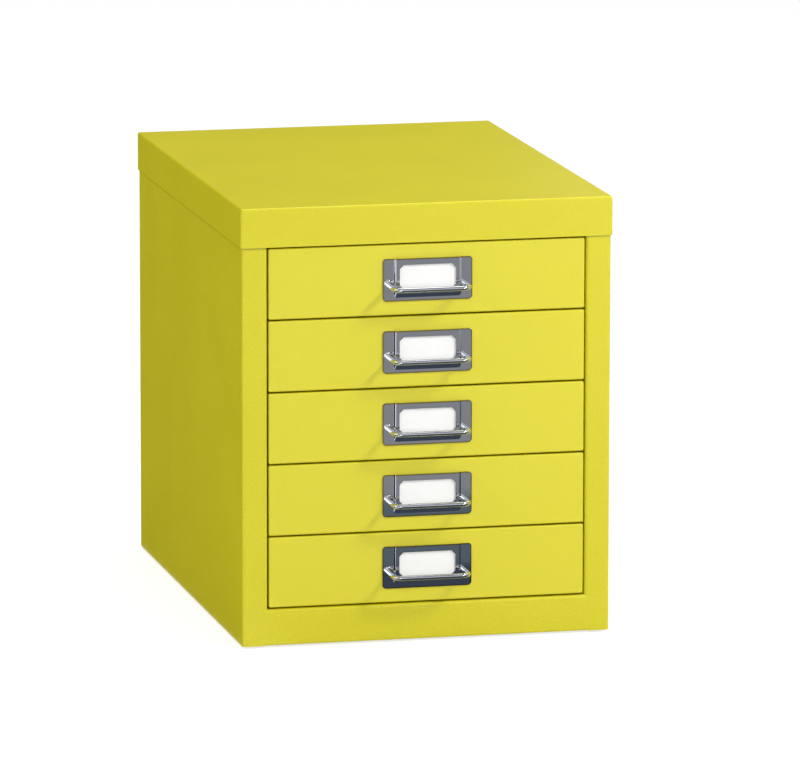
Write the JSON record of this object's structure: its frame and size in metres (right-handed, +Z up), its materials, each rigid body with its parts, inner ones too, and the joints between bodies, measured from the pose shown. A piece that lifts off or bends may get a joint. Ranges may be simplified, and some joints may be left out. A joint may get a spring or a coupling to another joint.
{
  "type": "small metal drawer cabinet",
  "caption": "Desktop steel cabinet with shallow drawers, each with a chromed card holder and a rod pull; the drawers slide out on folded runners.",
  "frame": {"origin": "on the ground under the middle of the whole object, pulls included", "axes": "+X across the front to its right as seen from the front, +Y from the drawer fronts to the back, +Z up"},
  "size_m": [0.279, 0.3994, 0.3265],
  "materials": {
    "case_paint": "yellow powder coat, satin",
    "drawer_paint": "yellow powder coat, satin",
    "chrome_plate": "bright nickel chrome plate",
    "zinc_steel": "zinc plated",
    "card_stock": "matte white card",
    "foot_plastic": "matte moulded"
  },
  "bodies": {
    "cabinet": {"top_cap": "case_paint", "side_left": "case_paint", "side_right": "case_paint", "back_panel": "case_paint", "base_pan": "case_paint", "front_rail": "case_paint", "rear_post_left": "case_paint", "rear_post_right": "case_paint", "runner_left_1": "case_paint", "runner_left_2": "case_paint", "runner_left_3": "case_paint", "runner_left_4": "case_paint", "runner_left_5": "case_paint", "runner_right_1": "case_paint", "runner_right_2": "case_paint", "runner_right_3": "case_paint", "runner_right_4": "case_paint", "runner_right_5": "case_paint", "foot_front_left": "foot_plastic", "foot_front_right": "foot_plastic", "foot_rear_left": "foot_plastic", "foot_rear_right": "foot_plastic"},
    "drawer_1": {"drawer_1_tray": "drawer_paint", "drawer_1_front": "drawer_paint", "drawer_1_card_holder": "chrome_plate", "drawer_1_pull": "chrome_plate", "drawer_1_pull_washers": "zinc_steel", "drawer_1_label_card": "card_stock"},
    "drawer_2": {"drawer_2_tray": "drawer_paint", "drawer_2_front": "drawer_paint", "drawer_2_card_holder": "chrome_plate", "drawer_2_pull": "chrome_plate", "drawer_2_pull_washers": "zinc_steel", "drawer_2_label_card": "card_stock"},
    "drawer_3": {"drawer_3_tray": "drawer_paint", "drawer_3_front": "drawer_paint", "drawer_3_card_holder": "chrome_plate", "drawer_3_pull": "chrome_plate", "drawer_3_pull_washers": "zinc_steel", "drawer_3_label_card": "card_stock"},
    "drawer_4": {"drawer_4_tray": "drawer_paint", "drawer_4_front": "drawer_paint", "drawer_4_card_holder": "chrome_plate", "drawer_4_pull": "chrome_plate", "drawer_4_pull_washers": "zinc_steel", "drawer_4_label_card": "card_stock"},
    "drawer_5": {"drawer_5_tray": "drawer_paint", "drawer_5_front": "drawer_paint", "drawer_5_card_holder": "chrome_plate", "drawer_5_pull": "chrome_plate", "drawer_5_pull_washers": "zinc_steel", "drawer_5_label_card": "card_stock"}
  },
  "joints": [
    {"name": "drawer_1_slide", "type": "slide", "parent": "cabinet", "child": "drawer_1", "axis": [0, -1, 0], "range_m": [0, 0.27]},
    {"name": "drawer_2_slide", "type": "slide", "parent": "cabinet", "child": "drawer_2", "axis": [0, -1, 0], "range_m": [0, 0.27]},
    {"name": "drawer_3_slide", "type": "slide", "parent": "cabinet", "child": "drawer_3", "axis": [0, -1, 0], "range_m": [0, 0.27]},
    {"name": "drawer_4_slide", "type": "slide", "parent": "cabinet", "child": "drawer_4", "axis": [0, -1, 0], "range_m": [0, 0.27]},
    {"name": "drawer_5_slide", "type": "slide", "parent": "cabinet", "child": "drawer_5", "axis": [0, -1, 0], "range_m": [0, 0.27]}
  ]
}
